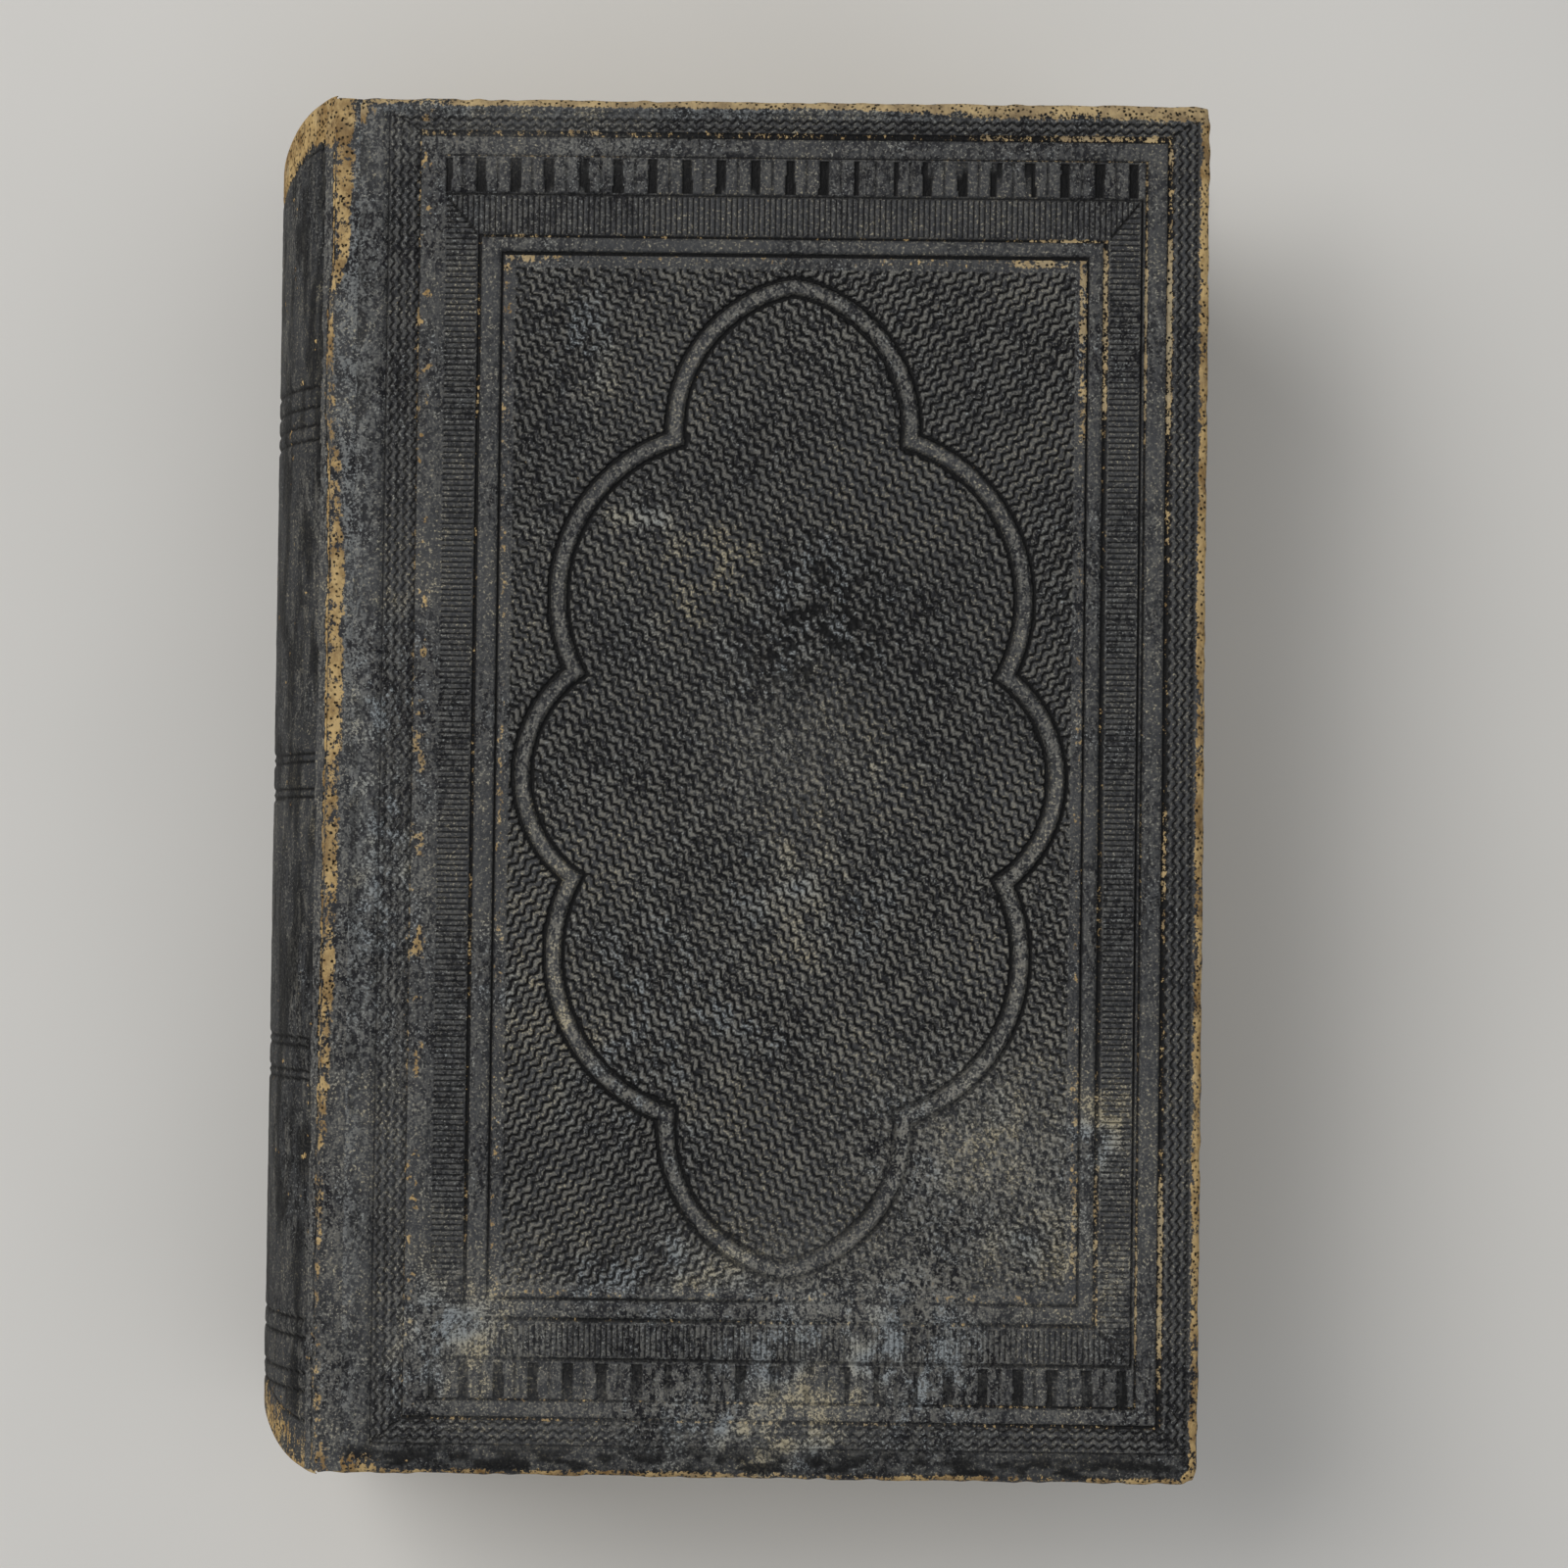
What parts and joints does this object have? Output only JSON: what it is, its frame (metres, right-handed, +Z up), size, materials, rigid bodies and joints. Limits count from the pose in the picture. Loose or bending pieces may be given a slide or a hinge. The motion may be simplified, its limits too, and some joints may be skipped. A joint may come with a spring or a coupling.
{
  "type": "prayer book",
  "caption": "Small closed prayer book in blind-stamped black leather over boards, with a rounded tight back, hinged covers and sewn sections that open.",
  "frame": {"origin": "middle of the closed book's footprint, on the surface its back cover lies on", "axes": "+X from the spine to the fore edge, +Y from the tail to the head, +Z up through the front cover"},
  "size_m": [0.104, 0.15, 0.04],
  "materials": {
    "black_leather": "blind-stamped calf, worn to tan at the edges",
    "millboard": "rolled grey-brown millboard",
    "thin_card": "thin pressed card",
    "endpaper": "aged laid paper, lightly foxed",
    "book_paper": "aged rag paper, trimmed edges",
    "brown_lining_paper": "glued brown paper",
    "mull_cloth": "open-weave starched cotton",
    "hemp_cord": "twisted hemp",
    "linen_thread": "waxed linen thread",
    "striped_silk": "silk thread wound in two colours"
  },
  "bodies": {
    "back_half": {"gathering_07": "book_paper", "gathering_08": "book_paper", "gathering_09": "book_paper", "gathering_10": "book_paper", "gathering_11": "book_paper", "gathering_12": "book_paper", "spine_leather": "black_leather", "spine_lining_paper": "brown_lining_paper", "spine_mull": "mull_cloth", "sewing_cord_1": "hemp_cord", "sewing_cord_2": "hemp_cord", "sewing_cord_3": "hemp_cord", "sewing_cord_4": "hemp_cord", "tail_kettle_stitch": "linen_thread", "head_kettle_stitch": "linen_thread", "tail_endband_core": "hemp_cord", "tail_endband_silk": "striped_silk", "head_endband_core": "hemp_cord", "head_endband_silk": "striped_silk"},
    "front_half": {"gathering_01": "book_paper", "gathering_02": "book_paper", "gathering_03": "book_paper", "gathering_04": "book_paper", "gathering_05": "book_paper", "gathering_06": "book_paper"},
    "front_cover": {"front_cover_leather": "black_leather", "front_board": "millboard", "front_infill_card": "thin_card", "front_pastedown": "endpaper"},
    "back_cover": {"back_cover_leather": "black_leather", "back_board": "millboard", "back_infill_card": "thin_card", "back_pastedown": "endpaper"},
    "front_flyleaf": {"front_flyleaf": "endpaper"},
    "back_flyleaf": {"back_flyleaf": "endpaper"},
    "left_middle_leaf": {"left_middle_leaf": "book_paper"},
    "right_middle_leaf": {"right_middle_leaf": "book_paper"}
  },
  "joints": [
    {"name": "book_opening", "type": "hinge", "parent": "back_half", "child": "front_half", "pos_m": [-0.05195, 0, 0.02], "axis": [0, -1, 0], "range_deg": [0, 120], "deforming": ["spine_leather", "spine_lining_paper", "spine_mull", "sewing_cord_1", "sewing_cord_2", "sewing_cord_3", "sewing_cord_4", "tail_kettle_stitch", "head_kettle_stitch", "tail_endband_core", "tail_endband_silk", "head_endband_core", "head_endband_silk"]},
    {"name": "front_cover_opening", "type": "hinge", "parent": "front_half", "child": "front_cover", "pos_m": [-0.04355, 0, 0.04005], "axis": [0, -1, 0], "range_deg": [0, 180]},
    {"name": "back_cover_opening", "type": "hinge", "parent": "back_half", "child": "back_cover", "pos_m": [-0.04355, 0, -0.00005], "axis": [0, -1, 0], "range_deg": [-60, 0]},
    {"name": "front_flyleaf_turning", "type": "hinge", "parent": "front_cover", "child": "front_flyleaf", "pos_m": [-0.04345, 0, 0.03596], "axis": [0, -1, 0], "range_deg": [-12, 0]},
    {"name": "back_flyleaf_turning", "type": "hinge", "parent": "back_cover", "child": "back_flyleaf", "pos_m": [-0.04345, 0, 0.00404], "axis": [0, -1, 0], "range_deg": [0, 7]},
    {"name": "left_middle_leaf_turning", "type": "hinge", "parent": "front_half", "child": "left_middle_leaf", "pos_m": [-0.04895, 0, 0.0201], "axis": [0, -1, 0], "range_deg": [-8, 0]},
    {"name": "right_middle_leaf_turning", "type": "hinge", "parent": "back_half", "child": "right_middle_leaf", "pos_m": [-0.04895, 0, 0.0199], "axis": [0, -1, 0], "range_deg": [0, 7]}
  ],
  "couplings": [
    {"joint": "front_flyleaf_turning", "follows": "front_cover_opening", "ratio": -0.06},
    {"joint": "back_flyleaf_turning", "follows": "back_cover_opening", "ratio": -0.1},
    {"joint": "left_middle_leaf_turning", "follows": "book_opening", "ratio": -0.06},
    {"joint": "right_middle_leaf_turning", "follows": "book_opening", "ratio": 0.05}
  ]
}
